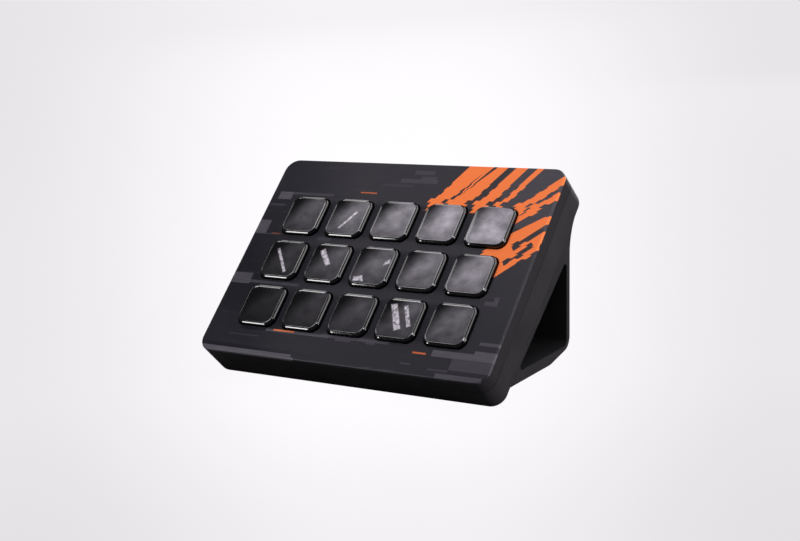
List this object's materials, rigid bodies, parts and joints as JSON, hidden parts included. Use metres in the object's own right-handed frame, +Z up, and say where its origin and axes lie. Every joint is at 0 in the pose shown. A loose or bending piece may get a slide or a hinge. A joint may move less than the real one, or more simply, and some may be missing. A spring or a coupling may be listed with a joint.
{
  "type": "stream controller",
  "caption": "Desk controller with a grid of clear display keys under a printed cover, on a sloping stand open at both sides.",
  "frame": {"origin": "on the desk, under the middle of the whole object", "axes": "+Z up, +X to the user's right, +Y away from the user"},
  "size_m": [0.118, 0.0748, 0.0686],
  "materials": {
    "cover": "satin print with orange and grey shapes",
    "key_cap": "clear, polished",
    "housing": "fine satin",
    "frame": "matt",
    "stand": "fine satin",
    "sole": "matt",
    "silicone": "matt",
    "board": "solder mask",
    "display": "polished",
    "light_frame": "matt",
    "tray": "matt",
    "ribbon": "satin film",
    "chip": "matt",
    "socket": "matt",
    "screw": "zinc",
    "magnet": "nickel plate",
    "port": "tin plate"
  },
  "bodies": {
    "stand": {"stand": "stand", "stand_pad": "sole", "stand_magnets": "magnet"},
    "deck": {"rear_housing": "housing", "front_frame": "frame", "usb_receptacle": "port", "key_membrane": "silicone", "contact_board": "board", "lcd_panel": "display", "backlight_unit": "light_frame", "display_tray": "tray", "display_flex": "ribbon", "contact_flex": "ribbon", "main_board": "board", "controller_chip": "chip", "memory_chip": "chip", "board_components": "chip", "ribbon_sockets": "socket", "board_screws": "screw", "housing_screws": "screw", "housing_magnets": "magnet"},
    "cover": {"faceplate": "cover"},
    "button_r1c1": {"key_r1c1": "key_cap"},
    "button_r1c2": {"key_r1c2": "key_cap"},
    "button_r1c3": {"key_r1c3": "key_cap"},
    "button_r1c4": {"key_r1c4": "key_cap"},
    "button_r1c5": {"key_r1c5": "key_cap"},
    "button_r2c1": {"key_r2c1": "key_cap"},
    "button_r2c2": {"key_r2c2": "key_cap"},
    "button_r2c3": {"key_r2c3": "key_cap"},
    "button_r2c4": {"key_r2c4": "key_cap"},
    "button_r2c5": {"key_r2c5": "key_cap"},
    "button_r3c1": {"key_r3c1": "key_cap"},
    "button_r3c2": {"key_r3c2": "key_cap"},
    "button_r3c3": {"key_r3c3": "key_cap"},
    "button_r3c4": {"key_r3c4": "key_cap"},
    "button_r3c5": {"key_r3c5": "key_cap"}
  },
  "joints": [
    {"name": "deck_lift", "type": "slide", "parent": "stand", "child": "deck", "axis": [0, -0.6884, 0.7254], "range_m": [0, 0.03]},
    {"name": "cover_lift", "type": "slide", "parent": "deck", "child": "cover", "axis": [0, -0.6884, 0.7254], "range_m": [0, 0.012]},
    {"name": "press_r1c1", "type": "slide", "parent": "deck", "child": "button_r1c1", "axis": [0, 0.6884, -0.7254], "range_m": [0, 0.0009], "stiffness_N_per_m": 450, "springref_m": -0.0008, "deforming": ["key_membrane"]},
    {"name": "press_r1c2", "type": "slide", "parent": "deck", "child": "button_r1c2", "axis": [0, 0.6884, -0.7254], "range_m": [0, 0.0009], "stiffness_N_per_m": 450, "springref_m": -0.0008, "deforming": ["key_membrane"]},
    {"name": "press_r1c3", "type": "slide", "parent": "deck", "child": "button_r1c3", "axis": [0, 0.6884, -0.7254], "range_m": [0, 0.0009], "stiffness_N_per_m": 450, "springref_m": -0.0008, "deforming": ["key_membrane"]},
    {"name": "press_r1c4", "type": "slide", "parent": "deck", "child": "button_r1c4", "axis": [0, 0.6884, -0.7254], "range_m": [0, 0.0009], "stiffness_N_per_m": 450, "springref_m": -0.0008, "deforming": ["key_membrane"]},
    {"name": "press_r1c5", "type": "slide", "parent": "deck", "child": "button_r1c5", "axis": [0, 0.6884, -0.7254], "range_m": [0, 0.0009], "stiffness_N_per_m": 450, "springref_m": -0.0008, "deforming": ["key_membrane"]},
    {"name": "press_r2c1", "type": "slide", "parent": "deck", "child": "button_r2c1", "axis": [0, 0.6884, -0.7254], "range_m": [0, 0.0009], "stiffness_N_per_m": 450, "springref_m": -0.0008, "deforming": ["key_membrane"]},
    {"name": "press_r2c2", "type": "slide", "parent": "deck", "child": "button_r2c2", "axis": [0, 0.6884, -0.7254], "range_m": [0, 0.0009], "stiffness_N_per_m": 450, "springref_m": -0.0008, "deforming": ["key_membrane"]},
    {"name": "press_r2c3", "type": "slide", "parent": "deck", "child": "button_r2c3", "axis": [0, 0.6884, -0.7254], "range_m": [0, 0.0009], "stiffness_N_per_m": 450, "springref_m": -0.0008, "deforming": ["key_membrane"]},
    {"name": "press_r2c4", "type": "slide", "parent": "deck", "child": "button_r2c4", "axis": [0, 0.6884, -0.7254], "range_m": [0, 0.0009], "stiffness_N_per_m": 450, "springref_m": -0.0008, "deforming": ["key_membrane"]},
    {"name": "press_r2c5", "type": "slide", "parent": "deck", "child": "button_r2c5", "axis": [0, 0.6884, -0.7254], "range_m": [0, 0.0009], "stiffness_N_per_m": 450, "springref_m": -0.0008, "deforming": ["key_membrane"]},
    {"name": "press_r3c1", "type": "slide", "parent": "deck", "child": "button_r3c1", "axis": [0, 0.6884, -0.7254], "range_m": [0, 0.0009], "stiffness_N_per_m": 450, "springref_m": -0.0008, "deforming": ["key_membrane"]},
    {"name": "press_r3c2", "type": "slide", "parent": "deck", "child": "button_r3c2", "axis": [0, 0.6884, -0.7254], "range_m": [0, 0.0009], "stiffness_N_per_m": 450, "springref_m": -0.0008, "deforming": ["key_membrane"]},
    {"name": "press_r3c3", "type": "slide", "parent": "deck", "child": "button_r3c3", "axis": [0, 0.6884, -0.7254], "range_m": [0, 0.0009], "stiffness_N_per_m": 450, "springref_m": -0.0008, "deforming": ["key_membrane"]},
    {"name": "press_r3c4", "type": "slide", "parent": "deck", "child": "button_r3c4", "axis": [0, 0.6884, -0.7254], "range_m": [0, 0.0009], "stiffness_N_per_m": 450, "springref_m": -0.0008, "deforming": ["key_membrane"]},
    {"name": "press_r3c5", "type": "slide", "parent": "deck", "child": "button_r3c5", "axis": [0, 0.6884, -0.7254], "range_m": [0, 0.0009], "stiffness_N_per_m": 450, "springref_m": -0.0008, "deforming": ["key_membrane"]}
  ]
}
